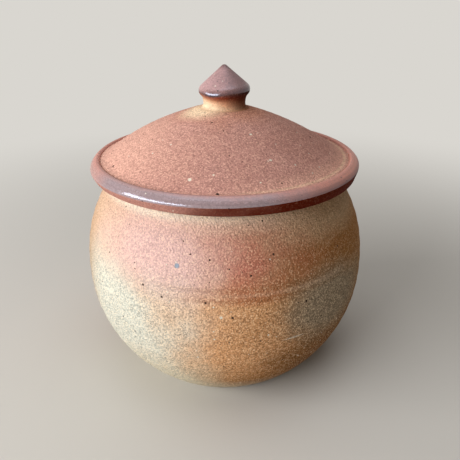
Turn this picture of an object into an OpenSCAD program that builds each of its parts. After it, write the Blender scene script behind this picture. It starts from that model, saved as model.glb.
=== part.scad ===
// Wheel-thrown stoneware salt pot with a lift-off flanged lid and a pointed knob.
// Millimetres, +Z up. The origin is the centre of the foot, on the table.

/* [Pot] */
// Diameter at the widest point of the belly
belly_d = 112; // [96:1:130]
// Height of the widest point above the table
belly_h = 45; // [38:1:52]
// Height from the table to the lip
pot_h = 82.5; // [74:0.5:96]
// Outer diameter of the lip, which the lid covers
lip_d = 88.5; // [76:0.5:94]
// Width of the lip, from its outer edge to the mouth
lip_w = 5; // [4:0.5:7]
// Wall thickness at the belly
wall = 5; // [3.5:0.5:7]
// Thickness of the floor over the foot recess
floor_t = 6; // [4:0.5:10]
// Outer diameter of the turned foot ring
foot_d = 70; // [60:1:82]
// Width of the foot ring's resting face
foot_w = 6; // [4:0.5:9]
// Depth of the recess turned inside the foot ring
foot_recess = 2; // [1:0.5:4]
// Angle at which the wall leaves the foot, above level
foot_flare = 38; // [28:1:50]
// Angle at which the shoulder reaches the lip, above level
lip_lean = 58; // [48:1:75]

/* [Lid] */
// Diameter over the rolled edge
lid_d = 103.2; // [97:0.2:112]
// Height of the rolled edge above the seat
edge_h = 6.4; // [5.6:0.1:8]
// How far the top of the rolled edge lies inside its widest line
ridge_inset = 2.8; // [2:0.1:4]
// Height of the rolled edge's widest line, its arris, above the seat
arris_h = 3.4; // [2.6:0.1:4]
// How far the foot of the rolled edge is set in from its widest line
edge_undercut = 0.9; // [0.5:0.1:2]
// Width of the shallow cove that runs inside the rolled edge
cove_w = 5; // [3:0.5:8]
// Depth of the cove, from the dome down to the rolled edge
cove_drop = 2.2; // [1.4:0.1:3]
// Height of the crown above the seat
crown_h = 23.3; // [20:0.1:28]
// Thickness of the dome under the knob
dome_t = 6; // [4.5:0.5:8]
// Depth of the locating flange below the seat
flange_h = 8; // [6:0.5:12]
// Thickness of the locating flange
flange_t = 4; // [3:0.5:6]
// Radial gap between the flange and the mouth
flange_gap = 1; // [0.5:0.1:2]

/* [Knob] */
// Diameter at the widest line of the knob
knob_d = 19.2; // [18:0.2:24]
// Diameter of the waist
waist_d = 15.2; // [13:0.2:16.4]
// Height of the knob from the crown to its tip
knob_h = 15.4; // [13:0.2:18]
// Height of the knob's widest line above the crown
knob_edge_h = 6.5; // [5.2:0.1:7]

/* [Softened edges] */
// Radius on both edges of the lip
lip_round = 1.5; // [0.8:0.1:1.9]
// Radius where the wall meets the table
foot_round = 1; // [0.5:0.1:1.5]
// Radius along the top of the rolled edge
ridge_round = 1; // [0.6:0.1:1.4]
// Radius along the arris of the rolled edge
arris_round = 0.8; // [0.5:0.1:1.4]
// Radius at the bottom of the rolled edge
under_round = 1; // [0.5:0.1:1.5]
// Radius on both edges of the flange's end
flange_round = 1.2; // [0.5:0.1:1.4]
// Radius of the fillet between the knob's waist and the crown
knob_fillet = 1.5; // [0.6:0.1:1.8]
// Radius of the knob's widest edge
knob_round = 1.5; // [1:0.1:1.8]
// Radius of the knob's tip
tip_round = 1.4; // [0.8:0.1:2]

/* [Hidden] */
$fn = 180;

// Pieces in each curve and in each rounded edge
curve_steps = 32;
round_steps = 8;

// Fullness of the thrown curves, as shares of the height or width that each one spans
foot_fullness = 0.21;
belly_fullness = 0.52;
shoulder_fullness = 0.48;
lip_fullness = 0.32;
floor_fullness = 0.55;
hollow_fullness = 0.55;

// How much steeper than its chord the dome is at the cove, and how much flatter at the crown, in degrees
dome_bulge_cove = 8;
dome_bulge_crown = 7;
dome_fullness = 0.38;
// Slope of the cove where it meets the rolled edge, in degrees
cove_slope = 10;
cove_fullness = 0.38;
// Where the cove meets the rolled edge and where its outer face starts, in degrees round the top of that edge
ridge_start = 150;
ridge_end = 62;
// How far the outer face of the rolled edge leans back at the arris, in degrees
roll_lean = 12;
roll_fullness = 0.36;
// Where the flank of the knob runs into its widest edge, in degrees below level
knob_flank = 48;
flank_fullness = 0.34;
// How far the recess wall in the foot leans in, as a share of its depth
recess_lean = 1;

belly_r = belly_d / 2;
lip_r = lip_d / 2;
mouth_r = lip_r - lip_w;
foot_r = foot_d / 2;
recess_r = foot_r - foot_w;
floor_z = foot_recess + floor_t;
inner_belly_r = belly_r - wall;

lid_r = lid_d / 2;
seat_z = pot_h;
crown_z = seat_z + crown_h;
flange_r = mouth_r - flange_gap;
flange_inner_r = flange_r - flange_t;
flange_z = seat_z - flange_h;
hollow_z = crown_z - dome_t;

knob_r = knob_d / 2;
waist_r = waist_d / 2;
crown_r = waist_r + knob_fillet;
tip_z = crown_z + knob_h;

// A point at a distance and an angle from another
function polar(from, distance, angle) = from + distance * [cos(angle), sin(angle)];

// Direction square to the straight line that touches two arcs on their outer side, the lower arc given first
function outer_normal(low, low_radius, high, high_radius) =
    let (span = high - low)
    atan2(span[1], span[0]) - acos((low_radius - high_radius) / norm(span));

// An outline starts with one point, and each arc or curve goes on from the point where the last one ended.
// Points round an arc, without its first
function arc(centre, radius, from, to, steps = round_steps) =
    [for (i = [1:steps]) polar(centre, radius, from + (to - from) * i / steps)];

// Points along a cubic curve from a to d that leaves towards b and arrives from c, without its first
function curve(a, b, c, d, steps = curve_steps) =
    [for (i = [1:steps]) let (t = i / steps, u = 1 - t)
        u * u * u * a + 3 * u * u * t * b + 3 * u * t * t * c + t * t * t * d];

// Points along a curve from a to d that leaves at one angle and arrives at another, without its first
function bend(a, leave, d, arrive, fullness, steps = curve_steps) =
    let (reach = fullness * norm(d - a))
    curve(a, polar(a, reach, leave), polar(d, -reach, arrive), d, steps);

// Outside of the pot, from the table up to the lip
function pot_outside() =
    let (
        foot_centre = [foot_r - foot_round, foot_round],
        foot_top = polar(foot_centre, foot_round, foot_flare - 90),
        lip_centre = [lip_r - lip_round, pot_h - lip_round],
        lip_edge = polar(lip_centre, lip_round, 90 - lip_lean),
        belly = [belly_r, belly_h]
    )
    concat(
        [[foot_centre[0], 0]],
        arc(foot_centre, foot_round, -90, foot_flare - 90),
        curve(
            foot_top,
            polar(foot_top, foot_fullness * belly_h, foot_flare),
            belly - [0, belly_fullness * belly_h],
            belly
        ),
        curve(
            belly,
            belly + [0, shoulder_fullness * (pot_h - belly_h)],
            polar(lip_edge, lip_fullness * (pot_h - belly_h), -lip_lean),
            lip_edge
        ),
        arc(lip_centre, lip_round, 90 - lip_lean, 90)
    );

// Inside of the pot, from the lip down to the middle of the floor
function pot_inside() =
    let (
        lip_centre = [mouth_r + lip_round, pot_h - lip_round],
        mouth = polar(lip_centre, lip_round, 180),
        belly = [inner_belly_r, belly_h],
        floor_edge = [recess_r, floor_z]
    )
    concat(
        [[lip_centre[0], pot_h]],
        arc(lip_centre, lip_round, 90, 180),
        curve(
            mouth,
            polar(mouth, lip_fullness * (pot_h - belly_h), -lip_lean),
            belly + [0, shoulder_fullness * (pot_h - belly_h)],
            belly
        ),
        curve(
            belly,
            belly - [0, belly_fullness * (belly_h - floor_z)],
            floor_edge + [floor_fullness * (inner_belly_r - recess_r), 0],
            floor_edge
        ),
        [[0, floor_z]]
    );

// The recess turned into the foot, from its middle out to the resting face
function foot_underside() = [
    [0, foot_recess],
    [recess_r - recess_lean * foot_recess, foot_recess],
    [recess_r, 0]
];

// Thrown pot: belly, leaning shoulder, flat-topped lip and turned foot ring
module pot() {
    color("#b98a63")
    rotate_extrude()
    polygon(concat(pot_outside(), pot_inside(), foot_underside()));
}

// Top of the lid, from the crown down over the cove and the rolled edge to the seat
function lid_top() =
    let (
        ridge_centre = [lid_r - ridge_inset, seat_z + edge_h - ridge_round],
        arris_centre = [lid_r - arris_round, seat_z + arris_h],
        under_centre = [lid_r - edge_undercut - under_round, seat_z + under_round],
        undercut_normal = outer_normal(under_centre, under_round, arris_centre, arris_round),
        roll_top = polar(ridge_centre, ridge_round, ridge_end),
        roll_foot = polar(arris_centre, arris_round, roll_lean),
        groove = polar(ridge_centre, ridge_round, ridge_start),
        brim = groove + [-cove_w, cove_drop],
        crown = [crown_r, crown_z],
        chord_slope = atan2(crown[1] - brim[1], brim[0] - crown[0]),
        brim_slope = chord_slope + dome_bulge_cove
    )
    concat(
        [[0, crown_z], crown],
        bend(crown, dome_bulge_crown - chord_slope, brim, -brim_slope, dome_fullness),
        bend(brim, -brim_slope, groove, -cove_slope, cove_fullness, round_steps),
        arc(ridge_centre, ridge_round, ridge_start, ridge_end),
        bend(roll_top, ridge_end - 90, roll_foot, roll_lean - 90, roll_fullness, round_steps),
        arc(arris_centre, arris_round, roll_lean, undercut_normal),
        [polar(under_centre, under_round, undercut_normal)],
        arc(under_centre, under_round, undercut_normal, -90)
    );

// Underside of the lid, from the seat round the flange and up into the hollow of the dome
function lid_underside() =
    let (
        outer_centre = [flange_r - flange_round, flange_z + flange_round],
        inner_centre = [flange_inner_r + flange_round, flange_z + flange_round],
        spring = [flange_inner_r, seat_z],
        top = [0, hollow_z]
    )
    concat(
        [[flange_r, seat_z], outer_centre + [flange_round, 0]],
        arc(outer_centre, flange_round, 0, -90),
        [inner_centre - [0, flange_round]],
        arc(inner_centre, flange_round, -90, -180),
        [spring],
        curve(
            spring,
            spring + [0, hollow_fullness * (hollow_z - seat_z)],
            top + [hollow_fullness * flange_inner_r, 0],
            top
        )
    );

// Lid thrown as a shallow bowl: cove, rolled edge, flat seat, locating flange and hollow dome
module lid() {
    color("#a4694d")
    rotate_extrude()
    polygon(concat(lid_top(), lid_underside()));
}

// Knob drawn up from its own ball of clay on the crown: waist, soft edge and pointed cap
module knob() {
    edge_centre = [knob_r - knob_round, crown_z + knob_edge_h];
    tip_centre = [0, tip_z - tip_round];
    cap_normal = outer_normal(edge_centre, knob_round, tip_centre, tip_round);
    waist = [waist_r, crown_z + knob_fillet];
    flank = polar(edge_centre, knob_round, -knob_flank);

    color("#76483c")
    rotate_extrude()
    polygon(concat(
        [[0, crown_z], [crown_r, crown_z]],
        arc([crown_r, crown_z + knob_fillet], knob_fillet, 270, 180),
        bend(waist, 90, flank, 90 - knob_flank, flank_fullness),
        arc(edge_centre, knob_round, -knob_flank, cap_normal),
        [polar(tip_centre, tip_round, cap_normal)],
        arc(tip_centre, tip_round, cap_normal, 90)
    ));
}

pot();
lid();
knob();
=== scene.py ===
"""Dresses a wheel-thrown salt pot: a round belly, a lift-off lid with a rolled edge, and a pointed knob."""

import math
from typing import NamedTuple

import bmesh
import bpy
from bpy.props import FloatProperty, FloatVectorProperty, PointerProperty
from bpy.types import Operator, Panel, PropertyGroup
from mathutils import Matrix, Vector, noise


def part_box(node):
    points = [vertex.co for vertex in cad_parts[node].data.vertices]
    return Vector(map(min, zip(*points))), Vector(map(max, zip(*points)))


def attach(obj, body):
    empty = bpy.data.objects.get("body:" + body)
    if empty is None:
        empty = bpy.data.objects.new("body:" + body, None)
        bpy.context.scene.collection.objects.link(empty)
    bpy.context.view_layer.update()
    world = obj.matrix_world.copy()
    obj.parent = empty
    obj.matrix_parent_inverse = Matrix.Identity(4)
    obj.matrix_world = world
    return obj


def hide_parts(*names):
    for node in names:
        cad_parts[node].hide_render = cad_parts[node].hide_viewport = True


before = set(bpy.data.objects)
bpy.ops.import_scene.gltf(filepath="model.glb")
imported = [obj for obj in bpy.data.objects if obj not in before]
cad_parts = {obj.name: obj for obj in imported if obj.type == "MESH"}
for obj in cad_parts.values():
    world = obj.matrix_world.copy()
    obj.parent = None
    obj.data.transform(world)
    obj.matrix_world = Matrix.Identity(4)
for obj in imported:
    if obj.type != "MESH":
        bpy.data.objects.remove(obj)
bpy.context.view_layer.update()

bl_info = {
    "name": "Stoneware salt pot",
    "version": (1, 0, 0),
    "blender": (4, 5, 0),
    "location": "View3D > Sidebar > Salt pot",
    "description": "Throws a stoneware salt pot with its lid and knob, and sets a plain studio round it",
    "category": "Add Mesh",
}

MM = 0.001

# The solids give the sizes that show from outside
POT_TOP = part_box("pot")[1]
LID_LOW, LID_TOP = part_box("lid")
KNOB_LOW, KNOB_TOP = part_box("knob")

# How close the points of an outline lie, the fewest on a curve, and how much longer a curve is than its chord
OUTLINE_STEP = 0.8 * MM
ROUND_STEP = 0.25 * MM
FEWEST_STEPS = 4
CURVE_EXCESS = 1.1

# Steps round a turn, how close points are welded, and from which angle an edge is sharp
POT_STEPS = 288
KNOB_STEPS = 144
WELD = 0.001 * MM
SHARP_ANGLE = math.radians(38)

# Fullness of the curves: shares of the height or width that a curve spans, or of its chord
FOOT_PULL = 0.21
LOWER_PULL = 0.52
UPPER_PULL = 0.48
LIP_PULL = 0.32
HOLLOW_PULL = 0.55
DOME_BEND = 0.38
ROLL_BEND = 0.36
NECK_BEND = 0.34

# Degrees by which the dome is flatter at the crown and steeper at the brim than straight
CROWN_EASE = 7
BRIM_EASE = 8

# Slopes in degrees at the outer end of the cove and into the incised line
SHELF_SLOPE = -4
GROOVE_SLOPE = -36

# Degrees round the ridge, the arris and the edge of the knob where the stretches of an outline meet
RIDGE_START = 170
RIDGE_END = 62
ARRIS_START = 30
NECK_END = -48
CAP_START = -6

# Look of the clay: its sandy grain, drawn a little coarser than it is so that it shows, its orange-peel skin
# and its specks, with the shift between the two kinds and how soft the edges are
GRAIN_SIZE = 0.45 * MM
PEEL_SIZE = 0.65 * MM
PEEL_DEPTH = 0.4 * MM
IRON_SPACING = 2.1 * MM
IRON_SIZE = 0.36 * MM
QUARTZ_SPACING = 3 * MM
QUARTZ_SIZE = 0.4 * MM
IRON_SHIFT = (1.3, 2.1, 0.7)
SPECK_EDGE = 0.15
MARK_BLUR = 0.25

# Distance from the middle of a thin line at which it is strongest, and radius of the patches on the knob
LINE_CORE = 0.2 * MM
KNOB_PATCH_RADIUS = 8 * MM

# How the edges of the kiln's patches stray: the size of slow drifts, their share and that of the grain, and
# how far they move the bands
DRIFT_SIZE = 20 * MM
DRIFT_SHARE = 0.9
GRAIN_SHARE = 0.1
BAND_STRAY = 5 * MM

# Size of the slow lumps that a hand leaves, share over which throwing rings fade at their ends, and size of
# the streaks that fingers draw along an edge
LUMP_SIZE = 24 * MM
RING_FADE = 0.12
STREAK_SIZE = 1.2 * MM

# Slopes by which the hand left the lid, the knob and the slip on the knob askew
LID_SKEW = 0.012
KNOB_SKEW = 0.042
SLIP_SKEW = 0.08

# How far the edge of the knob droops, and where, to the right of the front
KNOB_DROOP = 1.1 * MM
DROOP_TURN = math.radians(-27)

# Size of the paper, and where it passes into the backdrop
PAPER_RADIUS = 4.0
PAPER_STEPS = 96
PAPER_NEAR = 0.09
PAPER_FAR = 0.42

# The camera's sensor in millimetres, and the nearest that it sees
SENSOR_WIDTH = 36
NEAREST = 0.01

# Places of each finish in a piece's list of materials
OUTER, BARE, SLIP, SCORCH = 0, 1, 2, 3
WAIST = 1

# Kinds of node that are used most, and the numbered sockets and settings of a colour mix
NOISE = "ShaderNodeTexNoise"
CELLS = "ShaderNodeTexVoronoi"
MATH = "ShaderNodeMath"
VECTOR = "ShaderNodeVectorMath"
RANGE = "ShaderNodeMapRange"
RAMP = "ShaderNodeValToRGB"
MIX = "ShaderNodeMix"
BACKGROUND = "ShaderNodeBackground"
FACTOR, FIRST, SECOND, MIXED = 0, 6, 7, 2
RGBA = {"data_type": "RGBA", "output": MIXED}


def linear(code):
    """Turns an sRGB hex colour into the linear values that the shaders take."""
    parts = [int(code[i:i + 2], 16) / 255 for i in (1, 3, 5)]
    return tuple(c / 12.92 if c <= 0.04045 else ((c + 0.055) / 1.055) ** 2.4 for c in parts) + (1.0,)


class Shine(NamedTuple):
    """How a surface shines: its index of refraction, its specular level and the tint of its gleam"""

    ior: float
    level: float
    tint: tuple


# Dry clay hardly shines, and slip that ran to glass has a cool gleam
DRY = Shine(1.5, 0.01, linear("#ffffff"))
GLASSY = Shine(1.6, 0.7, linear("#dbe8ff"))


def length(description, default):
    """A size in metres that a user can change."""
    return FloatProperty(description=description, default=default, unit="LENGTH", precision=5)


def angle(description, degrees):
    """An angle that a user can change."""
    return FloatProperty(description=description, default=math.radians(degrees), unit="ROTATION")


def strength(description, default):
    """A strength of light that a user can change."""
    return FloatProperty(description=description, default=default, subtype="FACTOR", min=0, soft_max=2)


def tint(description, code):
    """A colour that a user can change."""
    return FloatVectorProperty(
        description=description, default=linear(code), subtype="COLOR", size=4, min=0, max=1
    )


class SaltPotShape(PropertyGroup):
    """Sizes of the thrown pot"""

    belly_radius: length("Radius at the widest point", POT_TOP.x)
    belly_height: length("Height of the widest point", 45 * MM)
    lip_height: length("Height of the lip that the lid sits on", POT_TOP.z)
    lip_radius: length("Outer radius of the lip", 44.25 * MM)
    lip_width: length("From the lip's outer edge to the mouth", 5 * MM)
    lip_round: length("Radius on both edges of the lip", 1.5 * MM)
    wall: length("Wall thickness at the belly", 5 * MM)
    floor_height: length("Height of the inside floor above the table", 8 * MM)
    foot_radius: length("Outer radius of the foot ring", 35 * MM)
    foot_width: length("Width of the foot ring", 6 * MM)
    foot_recess: length("Depth of the recess inside the foot ring", 2 * MM)
    foot_round: length("Radius where the wall meets the table", 1 * MM)
    foot_flare: angle("Angle at which the wall leaves the foot", 38)
    lip_lean: angle("Angle at which the shoulder reaches the lip", 58)


class SaltPotLidShape(PropertyGroup):
    """Sizes of the thrown lid"""

    edge_radius: length("Radius of the rolled edge's widest line", LID_TOP.x)
    seat_height: length("Height of the flat seat, on the lip", POT_TOP.z)
    crown_height: length("Height of the crown that carries the knob", KNOB_LOW.z)
    flange_height: length("Height of the flange's lower end", LID_LOW.z)
    edge_height: length("Height of the rolled edge above the seat", 6.4 * MM)
    ridge_inset: length("How far the edge's top lies inside its widest line", 2.8 * MM)
    ridge_round: length("Radius along the top of the rolled edge", 1 * MM)
    arris_height: length("Height of the widest line above the seat", 3.4 * MM)
    arris_round: length("Radius along the widest line", 1.6 * MM)
    edge_undercut: length("How far the edge's foot is set in", 0.9 * MM)
    under_round: length("Radius at the bottom of the rolled edge", 1 * MM)
    cove_width: length("Width of the shallow cove inside the rolled edge", 5 * MM)
    cove_drop: length("From the dome down to the rolled edge", 2.5 * MM)
    shelf_inset: length("From the incised line in to the outer end of the cove", 0.9 * MM)
    shelf_rise: length("From the incised line up to the outer end of the cove", 0.3 * MM)
    flange_radius: length("Outer radius of the locating flange", 38.25 * MM)
    flange_thickness: length("Thickness of the locating flange", 4 * MM)
    flange_round: length("Radius on both edges of the flange's end", 1.2 * MM)
    dome_thickness: length("Thickness of the dome under the knob", 6 * MM)


class SaltPotKnobShape(PropertyGroup):
    """Sizes of the knob"""

    edge_radius: length("Radius of the knob's widest line", KNOB_TOP.x)
    base_height: length("Height of the crown that the knob stands on", KNOB_LOW.z)
    tip_height: length("Height of the tip", KNOB_TOP.z)
    edge_rise: length("Height of the widest line above the crown", 6.5 * MM)
    edge_round: length("Radius of the widest edge", 2.3 * MM)
    waist_radius: length("Radius of the waist", 7.9 * MM)
    waist_fillet: length("Radius between the waist and the crown", 1.5 * MM)
    tip_round: length("Radius of the tip", 1.4 * MM)


class SaltPotColours(PropertyGroup):
    """Colours that the kiln left on the clay, and the painted light and shade laid over them"""

    bare: tint("Unflashed clay at the foot", "#c4b7a1")
    buff: tint("Pale band under the lid", "#e0c4b0")
    tan: tint("Band above the foot", "#b07c4c")
    amber: tint("Belly between the ash patches", "#d59e70")
    ember: tint("Band where the blush ends, crown of the lid and foot of the knob", "#c07c55")
    rose: tint("Blush round the upper belly", "#bd7260")
    # Partly a paler blush and partly a painted sheen where the window gleams, left of the front
    mist: tint("Paler blush left of the front", "#dbb5af")
    # Its pale line in the lid's cove is painted light
    peach: tint("Upper belly at the left, and pale turned lines", "#d8b498")
    # Partly painted shade: the belly at the right, away from the light
    brown: tint("Belly at the right", "#9a6a38")
    # Painted shade: the belly's far left edge, where the light falls off
    sienna: tint("Far left edge of the belly", "#a3805c")
    # Its patches at the lower right are partly painted shade
    umber: tint("Lower belly at the right, and dark throwing lines", "#7a4f29")
    ash: tint("Ash patch at the left", "#d0cfc1")
    fawn: tint("Lower belly at the left", "#d4cdb6")
    # Drawn darker than the left ash patch, partly as painted shade
    olive: tint("Ash patch at the right", "#988771")
    iron: tint("Iron specks", "#3b2d27")
    quartz: tint("Pale grains, scuffs and neck", "#e2d8c6")
    # Its patch on the shoulder at the right is painted light that lifts the lid's shadow
    sand: tint("Palest grains of the clay, and the shoulder at the right", "#e4ccab")
    slate: tint("Blue-grey spot on the blush", "#98a2b0")
    inside: tint("Clay inside the pot and under the lid", "#b98f72")
    rust: tint("Paler clay of the lid", "#c6958a")
    salmon: tint("Left side and right margin of the lid", "#dcaa98")
    # Painted light: the lid's left side, where the window shines, and its right margin, lit from behind
    russet: tint("Darker clay of the lid", "#b58275")
    # Painted light: paler on the knob's lit left side; on the waist's foot it is partly pale clay too
    crown: tint("Pale clay at the left of the knob", "#ead0b0")
    blush: tint("Thin slip on the rolled edge", "#c98673")
    # Painted reflection: the window's sheen on the rolled edge at the left
    lilac: tint("Cloud on the rolled edge at the left", "#9a8587")
    # Its line in the lid's cove and its patch on the cap's right are painted shade
    mauve: tint("Edge and tip of the knob, streaks on the rolled edge and a line in the cove", "#6e4a45")
    oxblood: tint("Undercut of the rolled edge", "#5e1d0c")
    # Painted light: the undercut at the left, where the window lights it
    brick: tint("Undercut of the rolled edge at the left", "#ae7c70")
    # Also laid as painted shade on the waist's right, away from the light
    sable: tint("Dark slip under the knob's edge", "#3a1c14")
    cap: tint("Cap of the knob", "#b8918f")
    waist: tint("Waist of the knob", "#cc7b50")
    henna: tint("Scorched slip above the waist of the knob", "#8a4331")


class SaltPotStage(PropertyGroup):
    """Camera and light"""

    camera_distance: length("From the lens to the aim point", 211 * MM)
    camera_pitch: angle("How far the camera looks down", 25.4)
    aim_height: length("Height of the point in the middle of the picture", 54.3 * MM)
    aim_side: length("How far the aim point lies to the right of the pot's axis", 2.1 * MM)
    focal_length: FloatProperty(description="Lens in millimetres", default=39.13, subtype="DISTANCE_CAMERA")
    light_distance: length("From each light to the pot", 800 * MM)
    window_turn: angle("Side that the light comes from, left of the front", 58)
    window_height: angle("Height of the window light above level", 20)
    window_width: length("Width of the window light", 800 * MM)
    window_drop: length("Height of the window light", 240 * MM)
    window_level: strength("Light on a surface that faces the window", 1.0)
    overhead_size: length("Side of the square light overhead", 700 * MM)
    overhead_level: strength("Light on a surface that faces up", 0.32)
    ambient_level: strength("Strength of the soft light from all round", 0.15)
    ambient: tint("Colour of the soft light from all round", "#fff6ec")
    paper: tint("Matte paper under the pot", "#cfccc6")
    backdrop: tint("Pale air behind the pot", "#d9d6d0")


def polar(centre, distance, degrees):
    """A point at a distance and an angle from another, in the plane of an outline."""
    turn = math.radians(degrees)
    return centre + distance * Vector((math.cos(turn), math.sin(turn)))


def arc(centre, radius, start, end):
    """Points round an arc, without its first."""
    steps = max(FEWEST_STEPS, round(radius * abs(math.radians(end - start)) / ROUND_STEP))
    return [polar(centre, radius, start + (end - start) * i / steps) for i in range(1, steps + 1)]


def curve(start, leave, arrive, end):
    """Points on a cubic curve that leaves towards one point and arrives from another, without its first."""
    steps = max(FEWEST_STEPS, round((end - start).length * CURVE_EXCESS / OUTLINE_STEP))
    points = []
    for i in range(1, steps + 1):
        share = i / steps
        rest = 1 - share
        point = rest * rest * rest * start + 3 * rest * rest * share * leave
        point += 3 * rest * share * share * arrive
        point += share * share * share * end
        points.append(point)
    return points


def bend(start, leave, end, arrive, fullness):
    """Points along a curve that leaves at one angle and arrives at another, without its first."""
    reach = fullness * (end - start).length
    return curve(start, polar(start, reach, leave), polar(end, -reach, arrive), end)


def straight(start, end):
    """Points along a straight line, without its first."""
    steps = max(1, round((end - start).length / (2 * OUTLINE_STEP)))
    return [start.lerp(end, i / steps) for i in range(1, steps + 1)]


def outer_normal(low, low_radius, high, high_radius):
    """Degrees square to the straight line that touches two arcs on their outer side, the lower arc first."""
    span = high - low
    return math.degrees(math.atan2(span.y, span.x) - math.acos((low_radius - high_radius) / span.length))


def turn_outline(shape, outline, steps, finish):
    """Turns an outline of radius and height about the axis: one quarter is spun, and three copies follow."""
    earlier = set(shape.faces)
    points = [shape.verts.new((point.x, 0, point.y)) for point in outline]
    lines = [shape.edges.new(pair) for pair in zip(points, points[1:])]
    quarter = math.tau / 4
    stretch = points + lines
    bmesh.ops.spin(shape, geom=stretch, cent=(0, 0, 0), axis=(0, 0, 1), angle=quarter, steps=steps // 4)
    spun = list(set(shape.faces) - earlier)
    for count in (1, 2, 3):
        copy = bmesh.ops.duplicate(shape, geom=spun)["geom"]
        corners = [part for part in copy if isinstance(part, bmesh.types.BMVert)]
        turned = Matrix.Rotation(count * quarter, 3, "Z")
        bmesh.ops.rotate(shape, verts=corners, cent=(0, 0, 0), matrix=turned)
    for face in set(shape.faces) - earlier:
        face.material_index = finish
        face.smooth = True


def throw(steps, *stretches):
    """Turns outlines, each with the place of its finish, and welds them into one skin that faces outwards."""
    shape = bmesh.new()
    for outline, finish in stretches:
        turn_outline(shape, outline, steps, finish)
    bmesh.ops.remove_doubles(shape, verts=shape.verts, dist=WELD)
    bmesh.ops.recalc_face_normals(shape, faces=shape.faces)
    shape.normal_update()
    return shape


def make_object(shape, name, finishes):
    """Makes an object from a shape, gives it its finishes and puts it in the scene."""
    mesh = bpy.data.meshes.new(name)
    shape.to_mesh(mesh)
    shape.free()
    for finish in finishes:
        mesh.materials.append(finish)
    made = bpy.data.objects.new(name, mesh)
    bpy.context.scene.collection.objects.link(made)
    return made


def finish_piece(shape, name, body, node, finishes):
    """Makes the shape an object that stands for its solid and rides on its body."""
    piece = make_object(shape, name, finishes)
    piece.data.set_sharp_from_angle(angle=SHARP_ANGLE)
    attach(piece, body)
    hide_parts(node)


def add_node(tree, kind, inputs, stops=(), output=0, **settings):
    """Adds a node with its settings, its inputs or links and its ramp's stops, and gives one output."""
    node = tree.nodes.new(kind)
    for name, value in settings.items():
        setattr(node, name, value)
    for name, value in inputs.items():
        if isinstance(value, bpy.types.NodeSocket):
            tree.links.new(value, node.inputs[name])
        else:
            node.inputs[name].default_value = value
    for place, colour in stops:
        node.color_ramp.elements.new(place).color = colour
    if stops:
        node.color_ramp.elements.remove(node.color_ramp.elements[0])
        node.color_ramp.elements.remove(node.color_ramp.elements[-1])
    return node.outputs[output] if node.outputs else None


def seen_rays(tree):
    """Is 1 for rays that show the backdrop, straight, mirrored or through glass, and 0 for its light."""
    rays = add_node(tree, "ShaderNodeLightPath", {}).node.outputs
    mirrored = add_node(
        tree, MATH, {0: rays["Is Glossy Ray"], 1: rays["Is Transmission Ray"]}, operation="MAXIMUM"
    )
    return add_node(tree, MATH, {0: rays["Is Camera Ray"], 1: mirrored}, operation="MAXIMUM")


def start_finish(name):
    """Makes an empty material, and gives its nodes and the place on the piece that its patterns follow."""
    material = bpy.data.materials.new(name)
    material.use_nodes = True
    tree = material.node_tree
    tree.nodes.clear()
    return material, tree, add_node(tree, "ShaderNodeTexCoord", {}, output="Object")


def matte_paper(stage):
    """Matte paper: pale and shadowed near the pot, and even with the backdrop further off."""
    material, tree, place = start_finish("matte_paper")
    distance = add_node(tree, VECTOR, {0: place}, operation="LENGTH", output="Value")
    ends = {"Value": distance, "From Min": PAPER_NEAR, "From Max": PAPER_FAR}
    far = add_node(tree, RANGE, ends, interpolation_type="SMOOTHSTEP")
    share = add_node(tree, MATH, {0: far, 1: seen_rays(tree)}, operation="MULTIPLY")
    lit = add_node(tree, "ShaderNodeBsdfDiffuse", {"Color": stage.paper})
    even = add_node(tree, "ShaderNodeEmission", {"Color": stage.backdrop, "Strength": 1.0})
    both = add_node(tree, "ShaderNodeMixShader", {0: share, 1: lit, 2: even})
    add_node(tree, "ShaderNodeOutputMaterial", {"Surface": both})
    return material


class Clay(NamedTuple):
    """A clay in the making: its material, nodes, place, grain and relief, and how far its patches stray"""

    material: object
    tree: object
    place: object
    grain: object
    relief: object
    stray: object


class Patch(NamedTuple):
    """A patch of colour: its middle by turn right of the front and by height, its reach, blur and share"""

    colour: tuple
    turn: float
    height: float
    across: float
    up: float
    blur: float
    share: float


class Line(NamedTuple):
    """A thin turned line: its colour, where it lies and how much of its colour shows"""

    colour: tuple
    place: float
    share: float


class Mark(NamedTuple):
    """A single speck: its colour, its middle by turn, radius and height, and its size"""

    colour: tuple
    turn: float
    radius: float
    height: float
    size: float


def on_wall(radius, degrees, height):
    """A point on a round wall, turned to the right of the front."""
    turn = math.radians(degrees)
    return Vector((radius * math.sin(turn), -radius * math.cos(turn), height))


def clay_grain(tree, place):
    """The sandy skin: how pale each grain is, and how far the skin stands up, both about 0 to 1."""
    cells = add_node(tree, CELLS, {"Vector": place, "Scale": 1 / GRAIN_SIZE, "Randomness": 1.0}).node.outputs
    chance = add_node(tree, "ShaderNodeSeparateColor", {0: cells["Color"]})
    centre = add_node(tree, RANGE, {"Value": cells["Distance"], "From Min": 0.95, "From Max": 0.15})
    pale = add_node(tree, MIX, {FACTOR: 0.4, 2: chance, 3: centre})
    peel = add_node(tree, NOISE, {"Vector": place, "Scale": 1 / PEEL_SIZE, "Detail": 1.0})
    return pale, peel


def edge_stray(tree, place, grain):
    """How far the edges of patches stray, from slow drifts and from single grains, even round 0."""
    drift = add_node(tree, NOISE, {"Vector": place, "Scale": 1 / DRIFT_SIZE, "Detail": 3.0})
    half = -0.5 * (DRIFT_SHARE + GRAIN_SHARE)
    slow = add_node(tree, MATH, {0: drift, 1: DRIFT_SHARE, 2: half}, operation="MULTIPLY_ADD")
    return add_node(tree, MATH, {0: grain, 1: GRAIN_SHARE, 2: slow}, operation="MULTIPLY_ADD")


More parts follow.
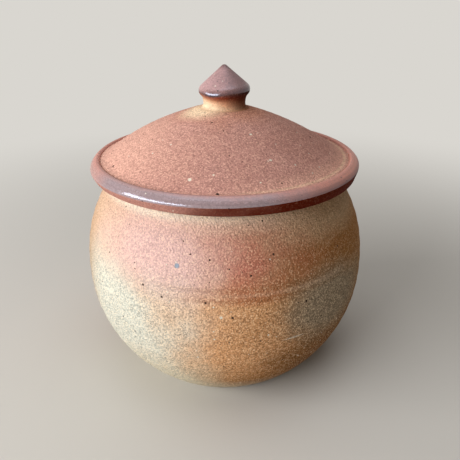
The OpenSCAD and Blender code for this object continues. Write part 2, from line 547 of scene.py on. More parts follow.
def start_clay(name, ragged=True):
    """Starts a clay with its sandy skin. The edges of its patches stray where it is ragged."""
    material, tree, place = start_finish(name)
    grain, relief = clay_grain(tree, place)
    stray = edge_stray(tree, place, grain) if ragged else 0.0
    return Clay(material, tree, place, grain, relief, stray)


def axis_distance(clay):
    """Distance of the place from the upright axis."""
    flat = add_node(clay.tree, VECTOR, {0: clay.place, 1: (1, 1, 0)}, operation="MULTIPLY")
    return add_node(clay.tree, VECTOR, {0: flat}, operation="LENGTH", output="Value")


def patch_mask(clay, stray, middle, reach, blur):
    """Is 1 inside an egg-shaped patch and 0 outside it, with an edge that strays and blurs."""
    tree = clay.tree
    away = add_node(tree, VECTOR, {0: clay.place, 1: middle}, operation="SUBTRACT")
    share = add_node(tree, VECTOR, {0: away, 1: reach}, operation="DIVIDE")
    distance = add_node(tree, VECTOR, {0: share}, operation="LENGTH", output="Value")
    uneven = add_node(tree, MATH, {0: distance, 1: stray}, operation="ADD")
    ends = {"Value": uneven, "From Min": 1 + blur, "From Max": 1 - blur}
    return add_node(tree, RANGE, ends, interpolation_type="SMOOTHSTEP")


def lay_patches(clay, colour, radius, patches):
    """Lays patches over a colour, with their middles at one radius."""
    for patch in patches:
        middle = on_wall(radius, patch.turn, patch.height)
        mask = patch_mask(clay, clay.stray, middle, (patch.across, patch.across, patch.up), patch.blur)
        part = add_node(clay.tree, MATH, {0: mask, 1: patch.share}, operation="MULTIPLY")
        colour = add_node(clay.tree, MIX, {FACTOR: part, FIRST: colour, SECOND: patch.colour}, **RGBA)
    return colour


def lay_lines(clay, colour, measure, mask, width, lines):
    """Draws thin lines over a colour, where a measure comes near their places inside a mask."""
    for line in lines:
        away = add_node(clay.tree, MATH, {0: measure, 1: line.place}, operation="SUBTRACT")
        apart = add_node(clay.tree, MATH, {0: away}, operation="ABSOLUTE")
        ends = {"Value": apart, "From Min": width, "From Max": LINE_CORE, "To Max": line.share}
        drawn = add_node(clay.tree, RANGE, ends)
        part = add_node(clay.tree, MATH, {0: drawn, 1: mask}, operation="MULTIPLY")
        colour = add_node(clay.tree, MIX, {FACTOR: part, FIRST: colour, SECOND: line.colour}, **RGBA)
    return colour


def speck_mask(tree, place, spacing, largest):
    """Is 1 on scattered round specks of mixed sizes and 0 between them."""
    cells = add_node(tree, CELLS, {"Vector": place, "Scale": 1 / spacing, "Randomness": 1.0}).node.outputs
    chance = add_node(tree, "ShaderNodeSeparateColor", {0: cells["Color"]})
    size = add_node(tree, MATH, {0: chance, 1: 3.0}, operation="POWER")
    reach = add_node(tree, MATH, {0: size, 1: largest / spacing}, operation="MULTIPLY")
    inside = add_node(tree, MATH, {0: reach, 1: cells["Distance"]}, operation="SUBTRACT")
    edge = SPECK_EDGE * largest / spacing
    return add_node(tree, RANGE, {"Value": inside, "From Min": 0.0, "From Max": edge})


def end_clay(clay, colours, colour, contrast, dust, peel, roughness, shine, marks=()):
    """Adds the grain and the specks that all of the clay has, and joins the patterns to the shader."""
    tree = clay.tree
    depth = peel * PEEL_DEPTH
    spread = add_node(tree, RANGE, {"Value": clay.grain, "To Min": -1.0, "To Max": 1.0})
    shade = add_node(tree, MATH, {0: spread, 1: contrast, 2: 1.0}, operation="MULTIPLY_ADD")
    colour = add_node(tree, MIX, {FACTOR: 1.0, FIRST: colour, SECOND: shade}, blend_type="MULTIPLY", **RGBA)

    # Pale grains, flecks of quartz and specks of iron lie scattered, and single marks have their own places
    pale = add_node(tree, RANGE, {"Value": clay.grain, "From Min": 0.62, "From Max": 0.9, "To Max": dust})
    flecks = speck_mask(tree, clay.place, QUARTZ_SPACING, QUARTZ_SIZE)
    aside = add_node(tree, VECTOR, {0: clay.place, 1: IRON_SHIFT}, operation="ADD")
    specks = speck_mask(tree, aside, IRON_SPACING, IRON_SIZE)
    layers = [(pale, colours.sand), (flecks, colours.quartz), (specks, colours.iron)]
    for mark in marks:
        middle = on_wall(mark.radius, mark.turn, mark.height)
        layers.append((patch_mask(clay, 0.0, middle, (mark.size,) * 3, MARK_BLUR), mark.colour))
    for mask, tone in layers:
        colour = add_node(tree, MIX, {FACTOR: mask, FIRST: colour, SECOND: tone}, **RGBA)

    rough = add_node(tree, MATH, {0: clay.grain, 1: 0.1, 2: roughness}, operation="MULTIPLY_ADD")
    bump = add_node(tree, "ShaderNodeBump", {"Height": clay.relief, "Distance": depth, "Strength": 1.0})
    shader = add_node(
        tree,
        "ShaderNodeBsdfPrincipled",
        {
            "Base Color": colour,
            "Roughness": rough,
            "IOR": shine.ior,
            "Specular IOR Level": shine.level,
            "Specular Tint": shine.tint,
            "Normal": bump,
        },
    )
    add_node(tree, "ShaderNodeOutputMaterial", {"Surface": shader})
    return clay.material


def flashed_stoneware(size, colours):
    """Stoneware flashed in the kiln: a satin orange-peel skin, blushed by flame and dusted with pale ash."""
    clay = start_clay("flashed_stoneware")
    tree = clay.tree

    # The flame leaves bands that follow the height, from bare clay at the foot to buff under the lid
    height = add_node(tree, "ShaderNodeSeparateXYZ", {0: clay.place}, output="Z")
    level = add_node(tree, MATH, {0: clay.stray, 1: BAND_STRAY, 2: height}, operation="MULTIPLY_ADD")
    share = add_node(tree, MATH, {0: level, 1: size.lip_height}, operation="DIVIDE")
    bands = (
        (0.06, colours.bare),
        (0.18, colours.tan),
        (0.36, colours.amber),
        (0.64, colours.amber),
        (0.67, colours.ember),
        (0.79, colours.rose),
        (0.90, colours.rose),
        (0.97, colours.buff),
    )
    colour = add_node(tree, RAMP, {0: share}, stops=bands)

    # Blushes and dustings on the side that faced the flame, and a fainter dusting on the far side, with
    # painted light and shade among them
    patches = (
        # Partly the clay's flashing and partly painted shade: the right and lower right are darkened away
        # from the light
        Patch(colours.brown, turn=84, height=52 * MM, across=56 * MM, up=50 * MM, blur=0.45, share=0.95),
        Patch(colours.umber, turn=56, height=22 * MM, across=34 * MM, up=19 * MM, blur=0.6, share=0.85),
        Patch(colours.umber, turn=38, height=7 * MM, across=32 * MM, up=10 * MM, blur=0.6, share=0.5),
        Patch(colours.peach, turn=-66, height=66 * MM, across=54 * MM, up=30 * MM, blur=0.5, share=1.0),
        # Partly a paler blush and partly a painted sheen where the window gleams
        Patch(colours.mist, turn=-28, height=69 * MM, across=24 * MM, up=14 * MM, blur=0.6, share=0.9),
        Patch(colours.fawn, turn=-50, height=12 * MM, across=38 * MM, up=24 * MM, blur=0.5, share=0.9),
        Patch(colours.ash, turn=-49, height=38 * MM, across=31 * MM, up=22 * MM, blur=0.5, share=1.0),
        # Partly ash and partly painted shade: the right ash patch is drawn olive on the side away from the
        # light
        Patch(colours.olive, turn=42, height=46 * MM, across=20 * MM, up=13 * MM, blur=0.5, share=0.95),
        # Painted shade where the light falls off at the far left edge
        Patch(colours.sienna, turn=-84, height=48 * MM, across=20 * MM, up=22 * MM, blur=0.6, share=0.7),
        Patch(colours.ash, turn=165, height=40 * MM, across=34 * MM, up=20 * MM, blur=0.5, share=0.7),
        # Painted light lifting the lid's shadow on the shoulder at the right
        Patch(colours.sand, turn=55, height=78 * MM, across=34 * MM, up=8 * MM, blur=0.6, share=0.4),
        Patch(colours.quartz, turn=-42, height=81 * MM, across=44 * MM, up=3.2 * MM, blur=0.5, share=0.7),
        Patch(colours.quartz, turn=26, height=36.7 * MM, across=4 * MM, up=0.4 * MM, blur=0.5, share=0.7),
    )
    colour = lay_patches(clay, colour, size.belly_radius, patches)

    # Throwing lines show as dark and pale stripes where the blush ends, right of the front
    middle = on_wall(size.belly_radius, degrees=20, height=56.6 * MM)
    mask = patch_mask(clay, clay.stray, middle, reach=(34 * MM, 34 * MM, 12 * MM), blur=0.7)
    lines = (
        Line(colours.umber, place=54.9 * MM, share=0.26),
        Line(colours.peach, place=56.6 * MM, share=0.26),
        Line(colours.umber, place=58.6 * MM, share=0.26),
    )
    colour = lay_lines(clay, colour, height, mask, 1.1 * MM, lines)

    marks = (
        Mark(colours.slate, turn=-16.5, radius=52.7 * MM, height=65.6 * MM, size=0.8 * MM),
        Mark(colours.iron, turn=-29.2, radius=55.0 * MM, height=57.0 * MM, size=0.42 * MM),
        Mark(colours.iron, turn=-21.5, radius=55.4 * MM, height=54.4 * MM, size=0.36 * MM),
        Mark(colours.iron, turn=-6.0, radius=55.4 * MM, height=54.4 * MM, size=0.36 * MM),
        Mark(colours.iron, turn=3.0, radius=55.9 * MM, height=49.1 * MM, size=0.42 * MM),
        Mark(colours.iron, turn=9.5, radius=53.5 * MM, height=63.2 * MM, size=0.36 * MM),
        Mark(colours.iron, turn=18.2, radius=51.4 * MM, height=68.9 * MM, size=0.36 * MM),
        Mark(colours.iron, turn=30.0, radius=55.8 * MM, height=50.7 * MM, size=0.42 * MM),
        Mark(colours.iron, turn=37.8, radius=55.9 * MM, height=41.7 * MM, size=0.36 * MM),
        Mark(colours.quartz, turn=-0.8, radius=55.9 * MM, height=49.2 * MM, size=0.5 * MM),
    )

    # Below the blush the grain stands out more, and the skin is dusted more thickly with pale grains
    below = add_node(tree, RANGE, {"Value": level, "From Min": 62 * MM, "From Max": 50 * MM})
    contrast = add_node(tree, RANGE, {"Value": below, "To Min": 0.36, "To Max": 0.62})
    dust = add_node(tree, RANGE, {"Value": below, "To Min": 0.44, "To Max": 0.65})
    return end_clay(clay, colours, colour, contrast, dust, peel=1.0, roughness=0.5, shine=DRY, marks=marks)


def rusty_stoneware(size, colours):
    """Thin iron slip on the dome: matte, sandy and rusty rose, with a warm halo beside the knob."""
    clay = start_clay("rusty_stoneware")
    tree = clay.tree
    mottle = add_node(tree, RANGE, {"Value": clay.stray, "From Min": -0.4, "From Max": 0.4})
    colour = add_node(tree, MIX, {FACTOR: mottle, FIRST: colours.russet, SECOND: colours.rust}, **RGBA)
    # Painted light: the left side, where the window shines, and the right margin, lit from behind, are paler
    patches = (
        Patch(colours.salmon, turn=-84, height=94 * MM, across=36 * MM, up=16 * MM, blur=0.7, share=0.8),
        Patch(colours.salmon, turn=62, height=88 * MM, across=40 * MM, up=3 * MM, blur=0.5, share=0.8),
    )
    colour = lay_patches(clay, colour, size.edge_radius, patches)

    # Painted light and shade in the cove at the right: a pale line where the cove's outer rise faces the
    # light, and a dark line of painted shade in the incised crease
    middle = on_wall(size.edge_radius, degrees=66, height=88 * MM)
    mask = patch_mask(clay, clay.stray, middle, reach=(46 * MM,) * 3, blur=0.4)
    lines = (
        Line(colours.peach, place=46.1 * MM, share=0.7),
        Line(colours.mauve, place=47.3 * MM, share=0.3),
    )
    colour = lay_lines(clay, colour, axis_distance(clay), mask, 0.8 * MM, lines)

    # The crown is warm all round the knob, and paler at its lit left as painted light, since the knob's
    # shadow falls to its right
    crown = size.crown_height
    warm = Patch(colours.ember, turn=0, height=crown, across=17 * MM, up=6 * MM, blur=0.5, share=0.45)
    pale = Patch(colours.crown, turn=-62, height=crown, across=9 * MM, up=6 * MM, blur=0.5, share=1.0)
    colour = lay_patches(clay, colour, 0.0, [warm])
    colour = lay_patches(clay, colour, 7 * MM, [pale])
    marks = (
        Mark(colours.quartz, turn=-14.8, radius=42.1 * MM, height=91.5 * MM, size=0.7 * MM),
        Mark(colours.quartz, turn=23.5, radius=23.2 * MM, height=100.9 * MM, size=0.5 * MM),
        Mark(colours.quartz, turn=26.0, radius=35.4 * MM, height=95.0 * MM, size=0.5 * MM),
        Mark(colours.iron, turn=-61.3, radius=44.8 * MM, height=89.7 * MM, size=0.6 * MM),
        Mark(colours.iron, turn=-2.2, radius=46.3 * MM, height=88.75 * MM, size=0.6 * MM),
        Mark(colours.iron, turn=-15.0, radius=16.4 * MM, height=103.8 * MM, size=0.5 * MM),
        Mark(colours.iron, turn=76.5, radius=32.9 * MM, height=96.3 * MM, size=0.5 * MM),
    )
    return end_clay(
        clay, colours, colour, contrast=0.43, dust=0.25, peel=0.6, roughness=0.55, shine=DRY, marks=marks
    )


def rolled_slip(size, colours):
    """Thick iron slip on the rolled edge: glossy, pink where thin, and with a painted grey-violet sheen at
    the left.
    """
    clay = start_clay("rolled_slip")
    tree = clay.tree
    arris = size.seat_height + size.arris_height
    # Painted reflection: a grey-violet sheen where the rolled edge at the left mirrors the window
    middle = on_wall(size.edge_radius, degrees=-22, height=arris)
    mask = patch_mask(clay, clay.stray, middle, reach=(52 * MM, 52 * MM, 4 * MM), blur=0.4)

    # The painted sheen thins out on the inner flank of the edge, and ends at the far left
    distance = axis_distance(clay)
    inner = size.edge_radius - 3.4 * MM
    outer = size.edge_radius - 1.6 * MM
    flank = add_node(tree, RANGE, {"Value": distance, "From Min": inner, "From Max": outer, "To Min": 0.5})
    left = on_wall(size.edge_radius, degrees=-82, height=arris)
    end = patch_mask(clay, clay.stray, left, reach=(20 * MM,) * 3, blur=0.4)
    kept = add_node(tree, RANGE, {"Value": end, "To Min": 1.0, "To Max": 0.4})
    thin = add_node(tree, MATH, {0: flank, 1: kept}, operation="MULTIPLY")
    painted_sheen = add_node(tree, MATH, {0: mask, 1: thin}, operation="MULTIPLY")
    colour = add_node(tree, MIX, {FACTOR: painted_sheen, FIRST: colours.blush, SECOND: colours.lilac}, **RGBA)
    glassy = patch_mask(clay, clay.stray, middle, reach=(52 * MM, 52 * MM, 2.4 * MM), blur=0.4)
    gloss = add_node(tree, RANGE, {"Value": glassy, "To Min": 0.45, "To Max": 0.1})

    # Away from the painted sheen the slip darkens towards the arris, which follows the lid's skew
    skew = {0: clay.place, 1: (-LID_SKEW, 0, 1)}
    level = add_node(tree, VECTOR, skew, operation="DOT_PRODUCT", output="Value")
    ends = {"Value": level, "From Min": arris + 1.8 * MM, "From Max": arris, "To Max": 0.95}
    low = add_node(tree, RANGE, ends)
    clear = add_node(tree, MATH, {0: 1.0, 1: mask}, operation="SUBTRACT")
    dark = add_node(tree, MATH, {0: low, 1: clear}, operation="MULTIPLY")
    colour = add_node(tree, MIX, {FACTOR: dark, FIRST: colour, SECOND: colours.oxblood}, **RGBA)

    # The fingers drew fine streaks along the edge, which follow the distance from the axis and the height
    height = add_node(tree, "ShaderNodeSeparateXYZ", {0: clay.place}, output="Z")
    section = add_node(tree, "ShaderNodeCombineXYZ", {"X": distance, "Z": height})
    drawn = add_node(tree, NOISE, {"Vector": section, "Scale": 1 / STREAK_SIZE, "Detail": 2.0})
    streak = add_node(tree, RANGE, {"Value": drawn, "From Min": 0.45, "From Max": 0.7, "To Max": 0.4})
    colour = add_node(tree, MIX, {FACTOR: streak, FIRST: colour, SECOND: colours.mauve}, **RGBA)
    return end_clay(clay, colours, colour, contrast=0.2, dust=0.0, peel=0.1, roughness=gloss, shine=GLASSY)


def scorched_undercut(size, colours):
    """Dry iron slip under the rolled edge: deep red, and dull pink at the left as painted light, where the
    window lights it.
    """
    clay = start_clay("scorched_undercut")
    seat = size.seat_height
    # Painted light: the undercut is paler at the left, where the window lights it
    brick = Patch(colours.brick, turn=-70, height=seat, across=60 * MM, up=60 * MM, blur=0.3, share=1.0)
    colour = lay_patches(clay, colours.oxblood, size.edge_radius, [brick])
    return end_clay(clay, colours, colour, contrast=0.25, dust=0.08, peel=0.5, roughness=0.5, shine=DRY)


def satin_stoneware(size, colours):
    """Slip on the cap of the knob: satin mauve, dark and glossy round its edge, and with painted shade at its
    right.
    """
    clay = start_clay("satin_stoneware", ragged=False)
    tree = clay.tree
    skew = {0: clay.place, 1: (-SLIP_SKEW, 0, 1)}
    height = add_node(tree, VECTOR, skew, operation="DOT_PRODUCT", output="Value")
    ends = {"Value": height, "From Min": size.base_height, "From Max": size.tip_height}
    rise = add_node(tree, RANGE, ends)
    bands = (
        (0.38, colours.sable),
        (0.43, colours.mauve),
        (0.52, colours.cap),
        (0.90, colours.cap),
        (0.97, colours.mauve),
    )
    colour = add_node(tree, RAMP, {0: rise}, stops=bands)
    cone = size.base_height + 1.3 * size.edge_rise
    # Painted shade: the cap is darker at its right, away from the light
    dark = Patch(colours.mauve, turn=65, height=cone, across=11 * MM, up=11 * MM, blur=0.6, share=0.7)
    colour = lay_patches(clay, colour, KNOB_PATCH_RADIUS, [dark])
    shiny = {"Value": rise, "From Min": 0.48, "From Max": 0.6, "To Min": 0.15, "To Max": 0.5}
    gloss = add_node(tree, RANGE, shiny)
    return end_clay(clay, colours, colour, contrast=0.3, dust=0.0, peel=0.06, roughness=gloss, shine=GLASSY)


def scorched_waist(size, colours):
    """Dry slip on the waist of the knob: red brown under the cap, orange below, and pale clay at the left
    made paler as painted light, with painted shade at the right.
    """
    clay = start_clay("scorched_waist")
    tree = clay.tree
    base = size.base_height
    height = add_node(tree, "ShaderNodeSeparateXYZ", {0: clay.place}, output="Z")
    rise = add_node(tree, RANGE, {"Value": height, "From Min": base, "From Max": base + size.edge_rise})
    bands = (
        (0.05, colours.ember),
        (0.30, colours.waist),
        (0.75, colours.henna),
        (0.92, colours.mauve),
    )
    colour = add_node(tree, RAMP, {0: rise}, stops=bands)
    neck = base + 0.7 * size.edge_rise
    patches = (
        # Painted shade darkens the waist at its right, away from the light
        Patch(colours.sable, turn=75, height=neck, across=9 * MM, up=5 * MM, blur=0.6, share=0.7),
        # Pale clay at the left of the foot, made paler as painted light
        Patch(colours.crown, turn=-60, height=base, across=10 * MM, up=4 * MM, blur=0.6, share=1.0),
    )
    colour = lay_patches(clay, colour, KNOB_PATCH_RADIUS, patches)
    return end_clay(clay, colours, colour, contrast=0.25, dust=0.08, peel=0.5, roughness=0.5, shine=DRY)


def bare_stoneware(colours):
    """Unglazed stoneware inside and underneath: dry, sandy and slowly varied from buff to brown."""
    clay = start_clay("bare_stoneware")
    share = add_node(clay.tree, RANGE, {"Value": clay.stray, "From Min": -0.35, "From Max": 0.35})
    colour = add_node(clay.tree, MIX, {FACTOR: share, FIRST: colours.inside, SECOND: colours.bare}, **RGBA)
    return end_clay(clay, colours, colour, contrast=0.3, dust=0.15, peel=1.0, roughness=0.7, shine=DRY)


def press_rings(shape, finish, measure, span, pitch, depth, lump):
    """Presses a spiral of soft rings and slow lumps into the faces with one finish, fading at both ends."""
    low, high = span
    fade = RING_FADE * (high - low)
    corners = {corner for face in shape.faces if face.material_index == finish for corner in face.verts}
    moves = []
    for corner in corners:
        reach = measure(corner.co)
        share = min(max(min(reach - low, high - reach) / fade, 0), 1)
        turn = math.atan2(corner.co.x, corner.co.y)
        ring = depth * math.sin(math.tau * reach / pitch + turn)
        moves.append((corner, share * (ring + lump * noise.noise(corner.co / LUMP_SIZE)) * corner.normal))
    for corner, move in moves:
        corner.co += move


def skew_lid(shape, size):
    """Leaves the lid a little skew: its dome leans to the right, and its edge is higher and thicker there."""
    skin = {corner for face in shape.faces if face.material_index != BARE for corner in face.verts}
    for corner in skin:
        # From -1 on the dome to 1 on the rolled edge, and the high power keeps the change close to the edge
        share = 2 * min(outward(corner.co) / size.edge_radius, 1) ** 8 - 1
        rise = 2 * min((corner.co.z - size.seat_height) / size.arris_height, 1) - 1
        corner.co.z += LID_SKEW * share * rise * corner.co.x


def skew_knob(shape, size):
    """Leaves the knob skew: its foot follows the dome, its cap leans left, and its edge droops there."""
    edge = size.base_height + size.edge_rise
    for corner in shape.verts:
        rise = min((corner.co.z - size.base_height) / size.edge_rise, 1)
        fall = min((size.tip_height - corner.co.z) / (size.tip_height - edge), 1)
        turn = math.atan2(corner.co.x, -corner.co.y) - DROOP_TURN
        lobe = max(math.cos(2 * turn), 0) ** 2 if abs(turn) < math.pi / 2 else 0
        lean = (KNOB_SKEW * rise - LID_SKEW) * corner.co.x
        corner.co.z += lean - KNOB_DROOP * rise * fall * lobe


def upright(point):
    """Height of a point."""
    return point.z


def outward(point):
    """Distance of a point from the upright axis."""
    return point.xy.length


def pot_outside(size):
    """Outline of the pot's outside, from the foot ring up to the lip."""
    flare = math.degrees(size.foot_flare)
    lean = math.degrees(size.lip_lean)
    foot_centre = Vector((size.foot_radius - size.foot_round, size.foot_round))
    foot_top = polar(foot_centre, size.foot_round, flare - 90)
    lip_centre = Vector((size.lip_radius - size.lip_round, size.lip_height - size.lip_round))
    lip_edge = polar(lip_centre, size.lip_round, 90 - lean)
    belly = Vector((size.belly_radius, size.belly_height))
    shoulder = size.lip_height - size.belly_height
    outline = [Vector((foot_centre.x, 0))]
    outline += arc(foot_centre, size.foot_round, -90, flare - 90)
    outline += curve(
        foot_top,
        polar(foot_top, FOOT_PULL * size.belly_height, flare),
        belly - Vector((0, LOWER_PULL * size.belly_height)),
        belly,
    )
    outline += curve(
        belly,
        belly + Vector((0, UPPER_PULL * shoulder)),
        polar(lip_edge, LIP_PULL * shoulder, -lean),
        lip_edge,
    )
    outline += arc(lip_centre, size.lip_round, 90 - lean, 90)
    return outline


def pot_inside(size):
    """Outline of the lip's flat top and the pot's inside, down to the middle of the floor."""
    lean = math.degrees(size.lip_lean)
    mouth_radius = size.lip_radius - size.lip_width
    lip_centre = Vector((mouth_radius + size.lip_round, size.lip_height - size.lip_round))
    mouth = Vector((mouth_radius, lip_centre.y))
    belly = Vector((size.belly_radius - size.wall, size.belly_height))
    shoulder = size.lip_height - size.belly_height
    recess_radius = size.foot_radius - size.foot_width
    floor_edge = Vector((recess_radius, size.floor_height))
    outline = [Vector((size.lip_radius - size.lip_round, size.lip_height))]
    outline.append(Vector((lip_centre.x, size.lip_height)))
    outline += arc(lip_centre, size.lip_round, 90, 180)
    outline += curve(
        mouth,
        polar(mouth, LIP_PULL * shoulder, -lean),
        belly + Vector((0, UPPER_PULL * shoulder)),
        belly,
    )
    outline += curve(
        belly,
        belly - Vector((0, LOWER_PULL * (size.belly_height - size.floor_height))),
        floor_edge + Vector((HOLLOW_PULL * (belly.x - recess_radius), 0)),
        floor_edge,
    )
    outline += straight(floor_edge, Vector((0, size.floor_height)))
    return outline


def pot_underside(size):
    """Outline of the recess turned inside the foot ring, out to the resting face."""
    recess_radius = size.foot_radius - size.foot_width
    return [
        Vector((0, size.foot_recess)),
        Vector((recess_radius - size.foot_recess, size.foot_recess)),
        Vector((recess_radius, 0)),
        Vector((size.foot_radius - size.foot_round, 0)),
    ]


def lid_top(size, knob):
    """Outlines of the lid's dome and cove, of its rolled edge down to the arris, and of the undercut."""
    ridge_centre = Vector(
        (size.edge_radius - size.ridge_inset, size.seat_height + size.edge_height - size.ridge_round)
    )
    arris_centre = Vector((size.edge_radius - size.arris_round, size.seat_height + size.arris_height))
    under_centre = Vector(
        (size.edge_radius - size.edge_undercut - size.under_round, size.seat_height + size.under_round)
    )
    undercut = outer_normal(under_centre, size.under_round, arris_centre, size.arris_round)
    groove = polar(ridge_centre, size.ridge_round, RIDGE_START)
    brim = groove + Vector((-size.cove_width, size.cove_drop))
    shelf = groove + Vector((-size.shelf_inset, size.shelf_rise))
    crown = Vector((knob.waist_radius + knob.waist_fillet, size.crown_height))
    chord = math.degrees(math.atan2(crown.y - brim.y, brim.x - crown.x))
    slope = chord + BRIM_EASE
    dome = [Vector((0, size.crown_height)), crown]
    dome += bend(crown, CROWN_EASE - chord, brim, -slope, DOME_BEND)
    dome += bend(brim, -slope, shelf, SHELF_SLOPE, DOME_BEND)
    dome += bend(shelf, SHELF_SLOPE, groove, GROOVE_SLOPE, DOME_BEND)
    roll = [groove]
    roll += arc(ridge_centre, size.ridge_round, RIDGE_START, RIDGE_END)
    arris = polar(arris_centre, size.arris_round, ARRIS_START)
    roll += bend(roll[-1], RIDGE_END - 90, arris, ARRIS_START - 90, ROLL_BEND)
    roll += arc(arris_centre, size.arris_round, ARRIS_START, 0)
    under = [roll[-1]]
    under += arc(arris_centre, size.arris_round, 0, undercut)
    under += straight(under[-1], polar(under_centre, size.under_round, undercut))
    under += arc(under_centre, size.under_round, undercut, -90)
    return dome, roll, under


def lid_underside(size):
    """Outline of the seat, the flange and the hollow of the dome."""
    inner = size.flange_radius - size.flange_thickness
    outer_centre = Vector((size.flange_radius - size.flange_round, size.flange_height + size.flange_round))
    inner_centre = Vector((inner + size.flange_round, size.flange_height + size.flange_round))
    spring = Vector((inner, size.seat_height))
    top = Vector((0, size.crown_height - size.dome_thickness))
    outline = [Vector((size.edge_radius - size.edge_undercut - size.under_round, size.seat_height))]
    outline += straight(outline[-1], Vector((size.flange_radius, size.seat_height)))
    outline += straight(outline[-1], outer_centre + Vector((size.flange_round, 0)))
    outline += arc(outer_centre, size.flange_round, 0, -90)
    outline += straight(outline[-1], inner_centre - Vector((0, size.flange_round)))
    outline += arc(inner_centre, size.flange_round, -90, -180)
    outline += straight(outline[-1], spring)
    outline += curve(
        spring,
        spring + Vector((0, HOLLOW_PULL * (top.y - spring.y))),
        top + Vector((HOLLOW_PULL * inner, 0)),
        top,
    )
    return outline


def knob_outlines(size):
    """Outlines of the knob's base and waist, and of its cap up to the tip."""
    edge_centre = Vector((size.edge_radius - size.edge_round, size.base_height + size.edge_rise))
    tip_centre = Vector((0, size.tip_height - size.tip_round))
    slope = outer_normal(edge_centre, size.edge_round, tip_centre, size.tip_round)
    foot = Vector((size.waist_radius + size.waist_fillet, size.base_height))
    waist = [Vector((0, size.base_height)), foot]
    waist += arc(foot + Vector((0, size.waist_fillet)), size.waist_fillet, 270, 180)
    neck = polar(edge_centre, size.edge_round, NECK_END)
    waist += bend(waist[-1], 90, neck, 90 + NECK_END, NECK_BEND)
    waist += arc(edge_centre, size.edge_round, NECK_END, CAP_START)
    cap = [waist[-1]]
    cap += arc(edge_centre, size.edge_round, CAP_START, slope)
    cap += straight(cap[-1], polar(tip_centre, size.tip_round, slope))
    cap += arc(tip_centre, size.tip_round, slope, 90)
    return waist, cap


class SALTPOT_OT_pot(Operator):
    """Throw the pot on its foot"""

    bl_idname = "saltpot.pot"
    bl_label = "Throw pot"

    def execute(self, context):
        size = context.scene.salt_pot
        colours = context.scene.salt_pot_colours
        stretches = (pot_underside(size), BARE), (pot_outside(size), OUTER), (pot_inside(size), BARE)
        shape = throw(POT_STEPS, *stretches)
        outside = (6 * MM, size.lip_height - 4 * MM)
        inside = (size.floor_height + 1 * MM, size.lip_height - 8 * MM)
        press_rings(shape, OUTER, upright, outside, pitch=5 * MM, depth=0.06 * MM, lump=0.15 * MM)
        press_rings(shape, BARE, upright, inside, pitch=8 * MM, depth=0.25 * MM, lump=0.2 * MM)
        finishes = [flashed_stoneware(size, colours), bare_stoneware(colours)]
        finish_piece(shape, "thrown_pot", "pot", "pot", finishes)
        return {"FINISHED"}


class SALTPOT_OT_lid(Operator):
    """Throw the lid with its rolled edge and flange"""

    bl_idname = "saltpot.lid"
    bl_label = "Throw lid"

    def execute(self, context):
        size = context.scene.salt_pot_lid
        knob = context.scene.salt_pot_knob
        colours = context.scene.salt_pot_colours
        dome, roll, under = lid_top(size, knob)
        seat = lid_underside(size)
        shape = throw(POT_STEPS, (dome, OUTER), (roll, SLIP), (under, SCORCH), (seat, BARE))
        dome_width = (9 * MM, 47 * MM)
        press_rings(shape, OUTER, outward, dome_width, pitch=3 * MM, depth=0.05 * MM, lump=0.15 * MM)
        skew_lid(shape, size)
        finishes = [
            rusty_stoneware(size, colours),
            bare_stoneware(colours),
            rolled_slip(size, colours),
            scorched_undercut(size, colours),
        ]
        finish_piece(shape, "thrown_lid", "lid", "lid", finishes)
        return {"FINISHED"}


class SALTPOT_OT_knob(Operator):
    """Draw up the knob on the lid's crown"""

    bl_idname = "saltpot.knob"
    bl_label = "Draw up knob"

    def execute(self, context):
        size = context.scene.salt_pot_knob
        colours = context.scene.salt_pot_colours
        waist, cap = knob_outlines(size)
        shape = throw(KNOB_STEPS, (waist, WAIST), (cap, OUTER))
        skew_knob(shape, size)
        finishes = [satin_stoneware(size, colours), scorched_waist(size, colours)]
        finish_piece(shape, "pointed_knob", "lid", "knob", finishes)
        return {"FINISHED"}


def hang_light(name, stage, side, width, drop, level):
    """Hangs a soft light on one side of the pot, facing it. A wide one is further off than its middle is."""
    lamp = bpy.data.lights.new(name, "AREA")
    lamp.shape = "RECTANGLE"
    lamp.size = width
    lamp.size_y = drop
    lamp.energy = level * math.pi ** 2 * (stage.light_distance ** 2 + (width ** 2 + drop ** 2) / 6)
    light = bpy.data.objects.new(name, lamp)
    light.location = Vector((0, 0, stage.aim_height)) + stage.light_distance * side
    light.rotation_euler = side.to_track_quat("Z", "Y").to_euler()
    bpy.context.scene.collection.objects.link(light)


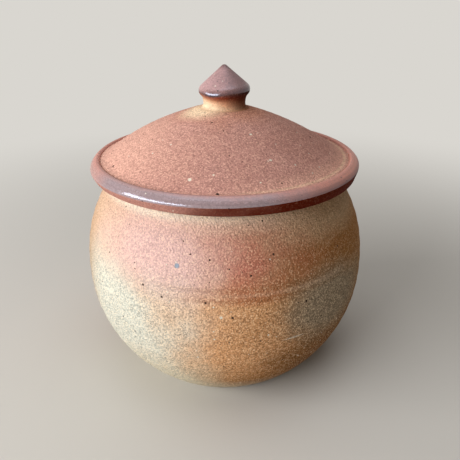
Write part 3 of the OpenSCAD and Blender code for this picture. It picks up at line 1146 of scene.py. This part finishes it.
class SALTPOT_OT_stage(Operator):
    """Set the paper, the light and the camera"""

    bl_idname = "saltpot.stage"
    bl_label = "Set stage"

    def execute(self, context):
        scene = context.scene
        stage = scene.salt_pot_stage
        shape = bmesh.new()
        bmesh.ops.create_circle(shape, cap_ends=True, segments=PAPER_STEPS, radius=PAPER_RADIUS)
        paper = make_object(shape, "paper", [matte_paper(stage)])

        turn = -stage.window_turn
        rise = stage.window_height
        side = Vector((math.sin(turn) * math.cos(rise), -math.cos(turn) * math.cos(rise), math.sin(rise)))
        hang_light("window", stage, side, stage.window_width, stage.window_drop, stage.window_level)
        above = Vector((0, 0, 1))
        hang_light("overhead", stage, above, stage.overhead_size, stage.overhead_size, stage.overhead_level)

        world = bpy.data.worlds.new("studio")
        world.use_nodes = True
        tree = world.node_tree
        tree.nodes.clear()
        soft = add_node(tree, BACKGROUND, {"Color": stage.ambient, "Strength": stage.ambient_level})
        seen = add_node(tree, BACKGROUND, {"Color": stage.backdrop, "Strength": 1.0})
        both = add_node(tree, "ShaderNodeMixShader", {0: seen_rays(tree), 1: soft, 2: seen})
        add_node(tree, "ShaderNodeOutputWorld", {"Surface": both})
        scene.world = world

        lens = bpy.data.cameras.new("camera")
        lens.sensor_width = SENSOR_WIDTH
        lens.lens = stage.focal_length
        lens.clip_start = NEAREST
        camera = bpy.data.objects.new("camera", lens)
        pitch = stage.camera_pitch
        aim = Vector((stage.aim_side, 0, stage.aim_height))
        camera.location = aim + stage.camera_distance * Vector((0, -math.cos(pitch), math.sin(pitch)))
        camera.rotation_euler = (math.pi / 2 - pitch, 0, 0)
        scene.collection.objects.link(camera)
        scene.camera = camera
        scene.view_settings.view_transform = "Standard"
        return {"FINISHED"}


class SALTPOT_PT_sidebar(Panel):
    """Sizes, colours and steps of the salt pot"""

    bl_idname = "SALTPOT_PT_sidebar"
    bl_label = "Salt pot"
    bl_space_type = "VIEW_3D"
    bl_region_type = "UI"
    bl_category = "Salt pot"

    def draw(self, context):
        for group in GROUPS:
            box = self.layout.box()
            for name in group.__annotations__:
                label = name.replace("_", " ").capitalize()
                box.prop(getattr(context.scene, GROUPS[group]), name, text=label)
        for step in STEPS:
            self.layout.operator(step.bl_idname)


GROUPS = {
    SaltPotShape: "salt_pot",
    SaltPotLidShape: "salt_pot_lid",
    SaltPotKnobShape: "salt_pot_knob",
    SaltPotColours: "salt_pot_colours",
    SaltPotStage: "salt_pot_stage",
}
STEPS = (SALTPOT_OT_pot, SALTPOT_OT_lid, SALTPOT_OT_knob, SALTPOT_OT_stage)


def register():
    for group, name in GROUPS.items():
        bpy.utils.register_class(group)
        setattr(bpy.types.Scene, name, PointerProperty(type=group))
    for step in STEPS:
        bpy.utils.register_class(step)
    bpy.utils.register_class(SALTPOT_PT_sidebar)


def unregister():
    bpy.utils.unregister_class(SALTPOT_PT_sidebar)
    for step in reversed(STEPS):
        bpy.utils.unregister_class(step)
    for group, name in reversed(GROUPS.items()):
        delattr(bpy.types.Scene, name)
        bpy.utils.unregister_class(group)


def main():
    register()
    bpy.ops.saltpot.pot()
    bpy.ops.saltpot.lid()
    bpy.ops.saltpot.knob()
    bpy.ops.saltpot.stage()


if __name__ == "__main__":
    main()
